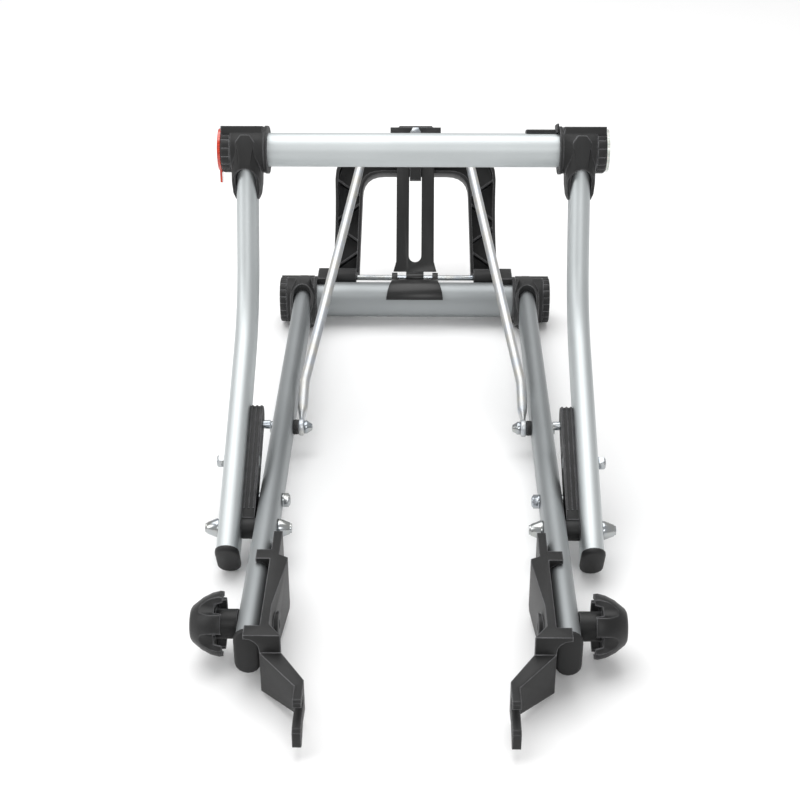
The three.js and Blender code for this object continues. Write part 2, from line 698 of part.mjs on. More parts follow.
// A strap clip on the right: a flange against the fitting and a bar along the crossbar's back.
function strapClip() {
  const flange = OUTER_LEG_X - OUTER_SLEEVE_IN - GAP;
  const back = BAR_WIDTH / 2 + GAP;
  return join(
    box(flange - 2, flange, back, back + 8, -12, 12),
    box(flange - CLIP_LONG, flange, back, back + CLIP_THICK, -8, 8),
  );
}
addPiece(topFrame, "strap_clip", strapClip(), BLACK);

// ---------------------------------------------------------------- stop arms

const armLow = -STOP_BOLT_AT * Math.sin(radians(CLOSED_ANGLE)) + STOP_HEAD_R + GAP;
const armHigh = armLow + ARM_WIDE;
const armTo = OUTER_FACE - GAP;
const armFrom = armTo - ARM_THICK;

function stopArm() {
  const middle = (armLow + armHigh) / 2;
  const radius = ARM_WIDE / 2;
  const outline = new THREE.Shape();
  outline.moveTo(0, armLow);
  outline.lineTo(ARM_TOP, armLow);
  outline.absarc(ARM_TOP, middle, radius, -Math.PI / 2, Math.PI / 2, false);
  outline.lineTo(0, armHigh);
  const bar = prismX(outline, armFrom, armTo);
  const groove = box(armFrom - 1, armFrom + 1.2, ARM_BOLT_AT + 12, STOP_PIN_AT - 9, middle - 4, middle + 4);
  return cut(
    bar,
    rodX(PIVOT_SPACER_R + GAP, armFrom - 1, armTo + 1),
    box(armFrom - 1, armTo + 1, -1, PIVOT_SPACER_R * 0.6, armLow - 1, armHigh + 1),
    rodX(SMALL_BOLT_R + GAP, armFrom - 1, armTo + 1, ARM_BOLT_AT),
    rodX(ARM_HEAD_R + GAP, armFrom - 1, armFrom + ARM_HEAD + GAP, ARM_BOLT_AT),
    rodX(STOP_PIN_R + GAP, armFrom - 1, armFrom + STOP_PIN_OUT, STOP_PIN_AT, middle - 2),
    groove,
  );
}
addPair(outerFrame, "stop_arm", stopArm(), BLACK);
addPair(
  outerFrame,
  "stop_pin",
  rodX(
    STOP_PIN_R,
    armFrom - STOP_PIN_OUT,
    armFrom + STOP_PIN_OUT - GAP,
    STOP_PIN_AT,
    (armLow + armHigh) / 2 - 2,
  ),
  ZINC,
);
const armNutFrom = OUTER_OUT + GAP;
addPair(
  outerFrame,
  "arm_bolt",
  join(
    rodX(ARM_HEAD_R, armFrom, armFrom + ARM_HEAD, ARM_BOLT_AT),
    rodX(SMALL_BOLT_R, armFrom + 1, armNutFrom + NUT_THICK + BOLT_END, ARM_BOLT_AT),
  ),
  ZINC,
);
addPair(
  outerFrame,
  "arm_nut",
  cut(
    hexX(NUT_R, armNutFrom, armNutFrom + NUT_THICK).translate([0, ARM_BOLT_AT, 0]),
    rodX(SMALL_BOLT_R + GAP, armNutFrom - 1, armNutFrom + NUT_THICK + 1, ARM_BOLT_AT),
  ),
  ZINC,
);

// ================================================================ arch and slotted plate

const archBack = -PLATE_THICK / 2 - GAP - ARCH_DEPTH;
const archFront = -PLATE_THICK / 2 - GAP;

function archOutline(inset, shape) {
  const foot = ARCH_FOOT_HALF - inset;
  const waist = ARCH_WAIST_HALF - inset;
  const top = ARCH_OPENING + ARCH_BAND - inset;
  const corner = ARCH_CORNER + 10;
  const insideFoot = ARCH_FOOT_HALF - ARCH_LIMB + inset;
  const insideTop = ARCH_WAIST_HALF - ARCH_LIMB + inset;
  const under = ARCH_OPENING + inset;
  const start = ARCH_START + inset;
  shape.moveTo(foot, start);
  shape.quadraticCurveTo(waist - 1, ARCH_WAIST_AT, waist + 1, top - corner);
  shape.quadraticCurveTo(waist + 1, top, waist + 1 - corner, top);
  shape.lineTo(-waist - 1 + corner, top);
  shape.quadraticCurveTo(-waist - 1, top, -waist - 1, top - corner);
  shape.quadraticCurveTo(-waist + 1, ARCH_WAIST_AT, -foot, start);
  shape.lineTo(-insideFoot, start);
  shape.lineTo(-insideTop, under - ARCH_CORNER);
  shape.quadraticCurveTo(-insideTop, under, -insideTop + ARCH_CORNER, under);
  shape.lineTo(insideTop - ARCH_CORNER, under);
  shape.quadraticCurveTo(insideTop, under, insideTop, under - ARCH_CORNER);
  shape.lineTo(insideFoot, start);
  return shape;
}

function arch() {
  const body = prismZ(archOutline(0, new THREE.Shape()), archBack, archFront, 6);
  const hollow = prismZ(archOutline(ARCH_WALL, new THREE.Shape()), archBack + ARCH_WALL, archFront + 1, 6);
  const ribs = [];
  const limb = ARCH_LIMB;
  const middle = ARCH_WAIST_HALF - limb / 2;
  for (const side of [-1, 1]) {
    for (let i = 0; i < 4; i += 1) {
      const t = ARCH_START + 16 + i * 26;
      const slope = i % 2 ? 35 : -35;
      ribs.push(
        box(-limb, limb, -1, 1, archBack + 1, archFront - 2)
          .rotate([0, 0, side * slope])
          .translate([side * middle, t, 0]),
      );
    }
  }
  const pocket = cut(hollow, ...ribs);
  const ring = (side) => {
    const from = side * (ARCH_EYE_IN + ARCH_EYE_WIDE / 2) - ARCH_EYE_WIDE / 2;
    const to = from + ARCH_EYE_WIDE;
    const neck = box(from, to, 0, ARCH_START + ARCH_WALL, archBack + 4, ARCH_EYE_R - 4);
    return join(rodX(ARCH_EYE_R, from, to), neck);
  };
  const nutChannel = box(
    -CLAMP_NUT - 2,
    CLAMP_NUT + 2,
    ARCH_OPENING - 1,
    ARCH_OPENING + ARCH_BAND + 1,
    archBack + ARCH_WALL,
    archFront + 1,
  );
  const bore = rodX(AXLE_R + GAP, -ARCH_FOOT_HALF, ARCH_FOOT_HALF);
  return cut(join(cut(body, pocket), ring(1), ring(-1)), nutChannel, bore);
}
addPiece(archFrame, "arch", arch(), BLACK);

function slottedPlate() {
  const half = PLATE_WIDE / 2;
  const outline = polygon(
    [-half - PLATE_FLARE, KNUCKLE_R + 1],
    [half + PLATE_FLARE, KNUCKLE_R + 1],
    [half, KNUCKLE_R + 12],
    [half, PLATE_TOP - 3],
    [half - 3, PLATE_TOP],
    [-half + 3, PLATE_TOP],
    [-half, PLATE_TOP - 3],
    [-half, KNUCKLE_R + 12],
  );
  const slot = ovalShape(SLOT_WIDE, SLOT_HIGH - SLOT_LOW);
  const plate = prismZ(outline, -PLATE_THICK / 2, PLATE_THICK / 2);
  const opening = prismZ(slot, -PLATE_THICK, PLATE_THICK).translate([0, (SLOT_HIGH + SLOT_LOW) / 2, 0]);
  const knuckle = join(
    rodX(KNUCKLE_R, -KNUCKLE_HALF, KNUCKLE_HALF),
    box(-KNUCKLE_HALF, KNUCKLE_HALF, 0, KNUCKLE_R + 2, -PLATE_THICK / 2, PLATE_THICK / 2),
  );
  return cut(join(plate, knuckle), opening, rodX(AXLE_R + GAP, -half, half));
}
addPiece(archFrame, "slotted_plate", slottedPlate(), STEEL);

// ---------------------------------------------------------------- clamp on the slotted plate

const bailLift = PLATE_THICK / 2 + GAP + CLAMP_BED + GAP + BAIL_R;
const clampFrame = subgroup(archFrame, BAIL_TOP_AT, 0, 0);
const clampFloor = PLATE_THICK / 2 + GAP;

function clampBlock() {
  const half = CLAMP_WIDE / 2;
  const bed = box(-half, half, -CLAMP_LOW, CLAMP_HIGH, clampFloor, clampFloor + CLAMP_BED);
  const shoulder = box(-half, half, BAIL_R + GAP, CLAMP_HIGH, clampFloor, clampFloor + CLAMP_SHOULDER);
  const tongueHalf = SLOT_WIDE / 2 - SLIDE_GAP;
  const tongue = box(
    -tongueHalf,
    tongueHalf,
    -CLAMP_LOW - CLAMP_TONGUE,
    4,
    -PLATE_THICK / 2,
    clampFloor + CLAMP_BED / 2,
  );
  const bolt = solidOf(new THREE.CylinderGeometry(SMALL_BOLT_R + GAP, SMALL_BOLT_R + GAP, 60, 16).rotateX(Math.PI / 2));
  return cut(join(bed, shoulder, tongue), bolt.translate([0, CLAMP_BOLT_UP, 0]));
}

function clampBolt() {
  const front = clampFloor + CLAMP_SHOULDER + GAP;
  const back = -PLATE_THICK / 2 - GAP;
  const head = prismZ(hexShape(CLAMP_NUT), front, front + 4, 1);
  const nut = prismZ(hexShape(CLAMP_NUT), back - 5, back, 1);
  const shank = prismZ(circleShape(SMALL_BOLT_R), back - 5 - BOLT_END, front + 1);
  return join(head, shank, nut).translate([0, CLAMP_BOLT_UP, 0]);
}
addPiece(clampFrame, "clamp_block", clampBlock(), BLACK);
addPiece(clampFrame, "clamp_bolt", clampBolt(), ZINC);

// ================================================================ wire bail

const runY = axleY + BAIL_TOP_AT * Math.cos(radians(ARCH_ANGLE)) - bailLift * Math.sin(radians(ARCH_ANGLE));
const runZ = AXLE_UP + BAIL_TOP_AT * Math.sin(radians(ARCH_ANGLE)) + bailLift * Math.cos(radians(ARCH_ANGLE));
const bailReach = Math.hypot(runY - BAIL_PIVOT_AT, runZ);
bailFrame.rotation.x = Math.atan2(runZ, runY - BAIL_PIVOT_AT);

function wireBail() {
  const start = BAIL_EYE_R + GAP;
  const corners = [
    new THREE.Vector3(BAIL_HALF, start, 0),
    new THREE.Vector3(BAIL_HALF, BAIL_STRAIGHT, 0),
    new THREE.Vector3(BAIL_TOP_HALF, bailReach, 0),
    new THREE.Vector3(-BAIL_TOP_HALF, bailReach, 0),
    new THREE.Vector3(-BAIL_HALF, BAIL_STRAIGHT, 0),
    new THREE.Vector3(-BAIL_HALF, start, 0),
  ];
  const wire = sweep(circleShape(BAIL_R), new RoundedPath(corners, [BAIL_BEND, BAIL_CORNER, BAIL_CORNER, BAIL_BEND], 4), 5);
  const eye = (side) => {
    const from = side * BAIL_HALF - BAIL_EYE_THICK / 2;
    const flat = box(from, from + BAIL_EYE_THICK, 0, BAIL_EYE_R + 4, -BAIL_EYE_R + 2, BAIL_EYE_R - 2);
    return join(rodX(BAIL_EYE_R, from, from + BAIL_EYE_THICK), flat);
  };
  return cut(join(wire, eye(1), eye(-1)), rodX(SMALL_BOLT_R + GAP, -BAIL_HALF - 9, BAIL_HALF + 9));
}
addPiece(bailFrame, "wire_bail", wireBail(), ZINC);

const eyeOut = BAIL_HALF + BAIL_EYE_THICK / 2 + GAP;
const eyeIn = BAIL_HALF - BAIL_EYE_THICK / 2 - GAP;
const acornLength = 8;
addPair(
  innerFrame,
  "bail_spacer",
  cut(rodX(BAIL_EYE_R - 1, eyeOut, INNER_FACE - GAP), rodX(SMALL_BOLT_R + GAP, eyeOut - 1, INNER_FACE)).translate([
    0,
    BAIL_PIVOT_AT,
    0,
  ]),
  BLACK,
);
addPair(
  innerFrame,
  "bail_bolt",
  join(
    rodX(BAIL_HEAD_R, INNER_OUT + GAP, INNER_OUT + GAP + BAIL_HEAD),
    rodX(SMALL_BOLT_R, eyeIn - acornLength + 2, INNER_OUT + 1),
  ).translate([0, BAIL_PIVOT_AT, 0]),
  ZINC,
);
const acornBore = SMALL_BOLT_R + GAP;
addPair(
  innerFrame,
  "bail_nut",
  turnedX(
    [
      [0, eyeIn - acornLength],
      [3, eyeIn - acornLength + 0.6],
      [NUT_R - 1, eyeIn - 4],
      [NUT_R, eyeIn - 3],
      [NUT_R, eyeIn],
      [acornBore, eyeIn],
      [acornBore, eyeIn - acornLength + 1.6],
      [0, eyeIn - acornLength + 1.6],
    ],
    12,
  ).translate([0, BAIL_PIVOT_AT, 0]),
  ZINC,
);

// ================================================================ jaws and knobs

const jawOut = INNER_FACE - JAW_CLEAR;
const jawIn = jawOut - JAW_THICK;

function jaw() {
  const middle = HOOK_X;
  const hookIn = middle - HOOK_THICK / 2;
  const hookOut = middle + HOOK_THICK / 2;
  const plan = polygon(
    [jawOut, -JAW_START],
    [jawOut, -JAW_TAB_END],
    [hookOut, -HOOK_AT - 2],
    [hookOut, -HOOK_FINGER_END - 1],
    [hookIn, -HOOK_FINGER_END - 1],
    [hookIn, -HOOK_AT + 4],
    [jawIn, -JAW_TAB_END + 14],
    [jawIn, -JAW_START - 96],
    [jawIn - WEDGE_OUT, -JAW_START - 42],
    [jawIn - WEDGE_OUT, -JAW_START - 36],
    [jawIn, -JAW_START - 32],
    [jawIn, -JAW_START],
  );
  const side = new THREE.Shape();
  side.moveTo(-JAW_START, JAW_TOP);
  side.lineTo(-JAW_TAB_END, JAW_TOP);
  side.lineTo(-JAW_TAB_END, 8);
  side.lineTo(-HOOK_AT, 5);
  side.lineTo(-HOOK_UPPER_END + 2, 8);
  side.lineTo(-HOOK_UPPER_END, 6);
  side.lineTo(-HOOK_UPPER_END, NOTCH_MIDDLE + NOTCH_WIDE / 2);
  side.lineTo(-NOTCH_DEPTH_AT - NOTCH_WIDE / 2, NOTCH_MIDDLE + NOTCH_WIDE / 2);
  side.absarc(-NOTCH_DEPTH_AT - NOTCH_WIDE / 2, NOTCH_MIDDLE, NOTCH_WIDE / 2, Math.PI / 2, -Math.PI / 2, true);
  side.lineTo(-HOOK_FINGER_END + 3, NOTCH_MIDDLE - NOTCH_WIDE / 2);
  side.lineTo(-HOOK_FINGER_END, NOTCH_MIDDLE - NOTCH_WIDE / 2 - 2);
  side.lineTo(-HOOK_FINGER_END, -23);
  side.lineTo(-HOOK_FINGER_END + 4, -25);
  side.lineTo(-HOOK_AT - 14, -18);
  side.lineTo(-JAW_TAB_END, -JAW_DEEP);
  side.lineTo(-JAW_TAB_END + 30, -JAW_DEEP);
  side.lineTo(-JAW_START - 40, -JAW_DEEP + 6);
  side.lineTo(-JAW_START - 20, -JAW_LOW);
  side.lineTo(-JAW_START, -JAW_LOW);
  const plate = prismZ(plan, -JAW_DEEP - 1, JAW_TOP + 1).intersect(prismX(side, hookIn - 1, jawOut + 1));
  const tab = (from) => box(jawOut - 2, INNER_LEG_X + JAW_TAB_REACH - 9, -from - JAW_TAB_LONG, -from, 4, JAW_TOP);
  const tabs = join(tab(JAW_UPPER_TAB), tab(JAW_TAB_END - JAW_TAB_LONG));
  const leg = prismY(
    ovalShape(LEG_WIDTH + 2 * JAW_CLEAR, LEG_HEIGHT + 2 * JAW_CLEAR),
    -JAW_TAB_END - 1,
    -JAW_START,
  ).translate([INNER_LEG_X, 0, 0]);
  const boss = rodX(JAW_BOSS_R, jawIn - JAW_BOSS, jawOut - 1, -KNOB_AT);
  const bore = rodX(STUD_R + GAP, jawIn - JAW_BOSS - 1, jawOut + 1, -KNOB_AT);
  return cut(join(plate, tabs.subtract(leg), boss), bore);
}

// A star knob with its threaded stud, which runs through the leg's slot into the jaw.
function knob() {
  const start = INNER_OUT + GAP + 0.5;
  const head = start + KNOB_STEM;
  const end = head + KNOB_HEAD;
  const dome = turnedX(
    [
      [0, head + 6],
      [KNOB_R - 5, head + 6],
      [KNOB_R - 4, head],
      [KNOB_R - 0.5, head],
      [KNOB_R, head + 3],
      [KNOB_R - 1.5, head + 9],
      [KNOB_R - 5, head + 16],
      [KNOB_FLAT_R, end - 1.5],
      [KNOB_FLAT_R - 2.5, end],
      [0, end],
    ],
    30,
  );
  const stem = rodX(KNOB_STEM_R, start, head + 8, 0, 0, 9);
  const flutes = [];
  for (let i = 0; i < KNOB_LOBES; i += 1) {
    const angle = radians((360 * (i + 0.5)) / KNOB_LOBES);
    const out = KNOB_R + 3;
    flutes.push(rodX(KNOB_FLUTE_R, head - 1, end + 1, out * Math.cos(angle), out * Math.sin(angle), 6));
  }
  const stud = rodX(STUD_R, jawIn - JAW_BOSS + 1, start + 2);
  return join(cut(dome, ...flutes), stem, stud).translate([0, -KNOB_AT, 0]);
}

addPair(innerFrame, "jaw", jaw(), BLACK);
addPair(innerFrame, "knob", knob(), BLACK);

// ================================================================ the stance

// The rack stands on the outer legs' caps and on the bosses of the inner corner fittings: the tilt
// of the inner legs that brings both to the floor.
const capAlong = OUTER_END + CAP_THICK - CAP_EDGE;
const capDown = LEG_HEIGHT / 2 + CAP_RIM - CAP_EDGE;
const closed = radians(CLOSED_ANGLE);
const bossEdge = INNER_BAR_AT - SLEEVE_HALF_Y + BOSS_CHAMFER;
const sinePart = bossEdge + capAlong * Math.cos(closed) - capDown * Math.sin(closed);
const cosinePart = BOSS_DEEP - capAlong * Math.sin(closed) - capDown * Math.cos(closed);
const stance = Math.asin(CAP_EDGE / Math.hypot(sinePart, cosinePart)) - Math.atan2(cosinePart, sinePart);
innerFrame.rotation.x = -stance;

// The origin is on the floor, under the middle of the rack.
part.updateMatrixWorld(true);
const extent = new THREE.Box3().setFromObject(part, true);
const middle = extent.getCenter(new THREE.Vector3());
innerFrame.position.set(-middle.x, -middle.y, -extent.min.z);

export default part;
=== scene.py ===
import math

import bmesh
import bpy
from mathutils import Matrix, Vector
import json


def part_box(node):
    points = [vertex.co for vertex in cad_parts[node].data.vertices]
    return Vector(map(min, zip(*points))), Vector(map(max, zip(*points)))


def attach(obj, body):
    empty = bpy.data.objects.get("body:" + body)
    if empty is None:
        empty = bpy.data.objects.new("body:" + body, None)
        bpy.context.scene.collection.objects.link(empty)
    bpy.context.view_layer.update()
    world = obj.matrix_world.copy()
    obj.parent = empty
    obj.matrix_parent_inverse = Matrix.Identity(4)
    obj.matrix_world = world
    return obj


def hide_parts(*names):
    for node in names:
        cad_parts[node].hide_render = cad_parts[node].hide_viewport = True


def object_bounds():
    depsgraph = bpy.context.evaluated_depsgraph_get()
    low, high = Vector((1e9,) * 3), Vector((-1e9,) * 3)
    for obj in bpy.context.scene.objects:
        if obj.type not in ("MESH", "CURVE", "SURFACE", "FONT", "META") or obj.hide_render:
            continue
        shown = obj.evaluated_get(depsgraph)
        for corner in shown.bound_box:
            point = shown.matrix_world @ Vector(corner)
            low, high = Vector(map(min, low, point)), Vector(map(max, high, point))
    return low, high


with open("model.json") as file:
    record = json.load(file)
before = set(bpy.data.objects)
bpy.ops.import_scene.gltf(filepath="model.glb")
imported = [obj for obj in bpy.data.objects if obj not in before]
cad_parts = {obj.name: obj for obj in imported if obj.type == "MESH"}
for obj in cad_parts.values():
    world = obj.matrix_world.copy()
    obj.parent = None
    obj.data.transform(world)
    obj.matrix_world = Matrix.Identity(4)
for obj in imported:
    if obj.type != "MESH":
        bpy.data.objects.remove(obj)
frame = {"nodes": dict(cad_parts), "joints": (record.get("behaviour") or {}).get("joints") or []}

CAD_LOW, CAD_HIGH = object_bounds()
NODES = frame["nodes"]
SIDES = (("left", -1), ("right", 1))
MM = 0.001

# ---------------------------------------------------------------- where the design's axes are

joints = {joint["name"]: joint for joint in frame["joints"]}
PIVOT = Vector(joints["frame_fold"]["pos_m"])
BAIL_PIVOT = Vector(joints["bail_swing"]["pos_m"])
LEG_OUT = Vector(joints["jaw_slide_left"]["axis"]).normalized()  # along the inner legs, towards the jaws
SIDEWAYS = Vector((1, 0, 0))


def middle(node):
    low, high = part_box(node)
    return (low + high) / 2


def across(direction):
    """The direction a quarter turn up from one that lies in the YZ plane."""
    return Vector((0, -direction.z, direction.y))


def in_side_view(vector):
    return Vector((0, vector.y, vector.z))


def corners_of(node):
    return [vertex.co for vertex in NODES[node].data.vertices]


LOWER_ALONG = in_side_view(middle("arm_nut_left") - middle("pivot_nut_outer_left")).normalized()
leg_end = max(corners_of("outer_leg_left"), key=lambda point: point.z)
top_ring = [in_side_view(p) for p in corners_of("outer_leg_left") if (p - leg_end).length < 40 * MM]


# ---------------------------------------------------------------- materials

class Shader:
    """A node tree with a Principled shader, and short calls to add to it."""

    def __init__(self, name):
        self.material = bpy.data.materials.new(name)
        self.material.use_nodes = True
        self.tree = self.material.node_tree
        self.principled = self.tree.nodes["Principled BSDF"]
        self.position = self.add("ShaderNodeTexCoord").outputs["Object"]

    def add(self, kind, values=(), links=()):
        node = self.tree.nodes.new(kind)
        for key, value in dict(values).items():
            if isinstance(key, str) and hasattr(node, key):
                setattr(node, key, value)
            else:
                node.inputs[key].default_value = value
        for key, socket in dict(links).items():
            self.tree.links.new(socket, node.inputs[key])
        return node

    def set(self, values):
        for key, value in values.items():
            self.principled.inputs[key].default_value = value

    def link(self, key, socket):
        self.tree.links.new(socket, self.principled.inputs[key])

    def stretched(self, scale):
        mapping = self.add("ShaderNodeMapping", {"Scale": scale}, {"Vector": self.position})
        return mapping.outputs["Vector"]

    def noise(self, scale, detail=3.0, vector=None):
        values = {"Scale": scale, "Detail": detail}
        noise = self.add("ShaderNodeTexNoise", values, {"Vector": vector or self.position})
        return noise.outputs["Fac"]

    def ramp(self, factor, *stops):
        ramp = self.add("ShaderNodeValToRGB", links={"Fac": factor})
        elements = ramp.color_ramp.elements
        while len(elements) < len(stops):
            elements.new(0.5)
        for element, (place, colour) in zip(elements, stops):
            element.position = place
            element.color = (*colour, 1) if len(colour) == 3 else colour
        return ramp.outputs["Color"]

    def range(self, factor, low, high, start=0.0, end=1.0):
        node = self.add(
            "ShaderNodeMapRange",
            {"From Min": start, "From Max": end, "To Min": low, "To Max": high},
            {"Value": factor},
        )
        return node.outputs["Result"]

    def mix(self, factor, a, b):
        node = self.add("ShaderNodeMix", {"data_type": "RGBA"})
        for socket, value in ((node.inputs[0], factor), (node.inputs[6], a), (node.inputs[7], b)):
            if isinstance(value, bpy.types.NodeSocket):
                self.tree.links.new(value, socket)
            else:
                socket.default_value = value
        return node.outputs[2]

    def edges(self, radius, sharp=0.35):
        """The rounded normal of edges this wide, and a mask that is 1 on them."""
        bevel = self.add("ShaderNodeBevel", {"samples": 6, "Radius": radius})
        flat = self.add("ShaderNodeNewGeometry").outputs["Normal"]
        same = self.add("ShaderNodeVectorMath", {"operation": "DOT_PRODUCT"})
        self.tree.links.new(bevel.outputs["Normal"], same.inputs[0])
        self.tree.links.new(flat, same.inputs[1])
        return bevel.outputs["Normal"], self.range(same.outputs["Value"], 1.0, 0.0, 1.0 - sharp, 1.0)

    def bump(self, height, strength, distance, normal=None):
        node = self.add("ShaderNodeBump", {"Strength": strength, "Distance": distance}, {"Height": height})
        if normal:
            self.tree.links.new(normal, node.inputs["Normal"])
        self.link("Normal", node.outputs["Normal"])


def grey(value):
    return (value, value, value)


def anodised(name, tone, blue=0.0):
    """Satin anodised tube: a blasted micro-texture, a soft bloom and small handling marks."""
    s = Shader(name)
    blasted = s.noise(1900.0, 3.0)
    bloom = s.noise(9.0, 2.0)
    marks = s.noise(1.0, 2.0, s.stretched((420, 24, 420)))
    low = (tone * 0.9, tone * 0.95, tone * (0.96 + blue))
    high = (tone * 1.0, tone * 1.05, tone * (1.06 + blue))
    base = s.ramp(bloom, (0.3, low), (0.7, high))
    scuffed = s.range(marks, 0.0, 0.1, 0.68, 0.82)
    s.link("Base Color", s.mix(scuffed, base, (tone * 0.8, tone * 0.81, tone * 0.84, 1)))
    s.link("Roughness", s.range(blasted, 0.46, 0.62))
    s.set({"Metallic": 0.94})
    s.bump(blasted, 0.1, 0.00012)
    return s.material


def plated(name, tint, rough=0.2, rounded=0.0005):
    """Bright zinc plate: a faint yellow and blue cloud with tiny pits."""
    s = Shader(name)
    cloud = s.noise(70.0, 3.0)
    warm = tuple(c * f for c, f in zip(tint, (1.0, 0.97, 0.9)))
    cool = tuple(c * f for c, f in zip(tint, (0.93, 0.96, 1.0)))
    s.link("Base Color", s.ramp(cloud, (0.35, warm), (0.65, cool)))
    s.link("Roughness", s.range(s.noise(240.0, 4.0), rough * 0.7, rough * 1.5))
    s.set({"Metallic": 1.0})
    normal = s.edges(rounded)[0] if rounded else None
    s.bump(s.noise(900.0, 2.0), 0.06, 0.0001, normal)
    return s.material


def moulded(name, tone, rough=0.5, grain=1500.0, edge=0.0017, painted_edge_light=0.42):
    """Moulded plastic: spark-eroded grain, flow shade, and edges painted a little lighter, a painted
    highlight broken up by noise.
    """
    s = Shader(name)
    flow = s.noise(24.0, 3.0)
    body = s.ramp(flow, (0.3, grey(tone * 0.82)), (0.72, (tone * 1.15, tone * 1.17, tone * 1.2)))
    normal, mask = s.edges(edge)
    # painted highlight: the edge mask, broken up by noise, mixes the colour towards a lighter grey
    highlight_breakup = s.range(s.noise(120.0, 4.0), 0.45, 1.0, 0.3, 0.7)
    on_edge = s.add("ShaderNodeMath", {"operation": "MULTIPLY"})
    s.tree.links.new(mask, on_edge.inputs[0])
    s.tree.links.new(highlight_breakup, on_edge.inputs[1])
    s.link("Base Color", s.mix(on_edge.outputs[0], body, (painted_edge_light, painted_edge_light, painted_edge_light * 1.04, 1)))
    speck = s.noise(grain, 3.0)
    s.link("Roughness", s.range(speck, rough * 0.85, rough * 1.15))
    s.set({"Specular IOR Level": 0.32})
    s.bump(speck, 0.5, 0.0003, normal)
    return s.material


def enamelled(name, tone):
    """Semi-gloss black paint on pressed steel, with orange peel and thin edges painted lighter as a painted
    highlight.
    """
    s = Shader(name)
    normal, mask = s.edges(0.0008)
    peel = s.noise(420.0, 2.0)
    body = s.ramp(s.noise(18.0), (0.3, grey(tone * 0.85)), (0.7, grey(tone * 1.2)))
    # painted highlight: the edge mask mixes the paint towards a lighter grey
    s.link("Base Color", s.mix(mask, body, (0.11, 0.11, 0.115, 1)))
    s.link("Roughness", s.range(s.noise(60.0, 4.0), 0.27, 0.4))
    s.set({"Specular IOR Level": 0.35, "Coat Weight": 0.1, "Coat Roughness": 0.3})
    s.bump(peel, 0.12, 0.0002, normal)
    return s.material


def lens(name, deep, bright):
    """Reflector: gloss plastic over rows of small prisms."""
    s = Shader(name)
    cells = s.add("ShaderNodeTexVoronoi", {"Scale": 520.0, "Randomness": 0.0}, {"Vector": s.position})
    s.link("Base Color", s.ramp(cells.outputs["Distance"], (0.05, bright), (0.75, deep)))
    s.link("Roughness", s.range(s.noise(90.0), 0.08, 0.16))
    s.set({"Coat Weight": 1.0, "Coat Roughness": 0.04, "Subsurface Weight": 0.15})
    s.principled.inputs["Subsurface Radius"].default_value = (0.002, 0.001, 0.001)
    normal, _ = s.edges(0.0006)
    s.bump(cells.outputs["Distance"], 0.25, 0.0004, normal)
    return s.material


# One aluminium in two copies: the outer frame's tubes are lighter and the inner frame's are darker. The
# difference is painted light and painted shade, standing in for how light falls on the two frames.
TUBE_PAINTED_LIT = anodised("outer_tube_painted_lit", 0.6, 0.0)
TUBE_PAINTED_SHADE = anodised("inner_tube_painted_shade", 0.36, 0.01)
ZINC = plated("zinc_plate", (0.42, 0.44, 0.46))
CHROME = plated("bright_rod", (0.6, 0.61, 0.62), 0.42, 0)
FITTING = moulded("fitting_plastic", 0.014)
# The last number of each moulded plastic is how light its painted edge highlight is.
KNOB_PLASTIC = moulded("knob_plastic", 0.012, 0.42, 1100.0, 0.0018, 0.4)
JAW_PLASTIC = moulded("jaw_plastic", 0.014, 0.47, 1300.0, 0.0017, 0.46)
ARCH_PLASTIC = moulded("arch_plastic", 0.012, 0.5, 1400.0, 0.0015, 0.34)
ENAMEL = enamelled("black_enamel", 0.011)
AMBER_LENS = lens("amber_prisms", (0.42, 0.012, 0.002), (0.8, 0.06, 0.008))
CLEAR_LENS = lens("clear_prisms", (0.5, 0.53, 0.48), (0.85, 0.88, 0.82))

# ---------------------------------------------------------------- finishing the design's own solids

SMOOTH_BELOW = math.radians(32)
FLAT_WITHIN = math.radians(0.5)
WELD_WITHIN = 0.01 * MM
BEVEL_SEGMENTS = 2
MOULDED_EDGE = 0.4 * MM
CAP_EDGE = 0.5 * MM
PRESSED_EDGE = 0.4 * MM
HARDWARE_EDGE = 0.25 * MM


def smoothing_group():
    """Geometry nodes that shade every face smooth and keep the sharp edges."""
    tree = bpy.data.node_groups.new("smooth_by_edge_angle", "GeometryNodeTree")
    tree.interface.new_socket("Geometry", in_out="INPUT", socket_type="NodeSocketGeometry")
    tree.interface.new_socket("Geometry", in_out="OUTPUT", socket_type="NodeSocketGeometry")
    start = tree.nodes.new("NodeGroupInput")
    end = tree.nodes.new("NodeGroupOutput")
    faces = tree.nodes.new("GeometryNodeSetShadeSmooth")
    edges = tree.nodes.new("GeometryNodeSetShadeSmooth")
    edges.domain = "EDGE"
    edges.inputs["Shade Smooth"].default_value = False
    angle = tree.nodes.new("GeometryNodeInputMeshEdgeAngle")
    sharp = tree.nodes.new("FunctionNodeCompare")
    sharp.operation = "GREATER_THAN"
    sharp.inputs[1].default_value = SMOOTH_BELOW
    tree.links.new(start.outputs[0], faces.inputs["Geometry"])
    tree.links.new(faces.outputs[0], edges.inputs["Geometry"])
    tree.links.new(angle.outputs["Unsigned Angle"], sharp.inputs[0])
    tree.links.new(sharp.outputs[0], edges.inputs["Selection"])
    tree.links.new(edges.outputs[0], end.inputs[0])
    return tree


SMOOTHING = smoothing_group()


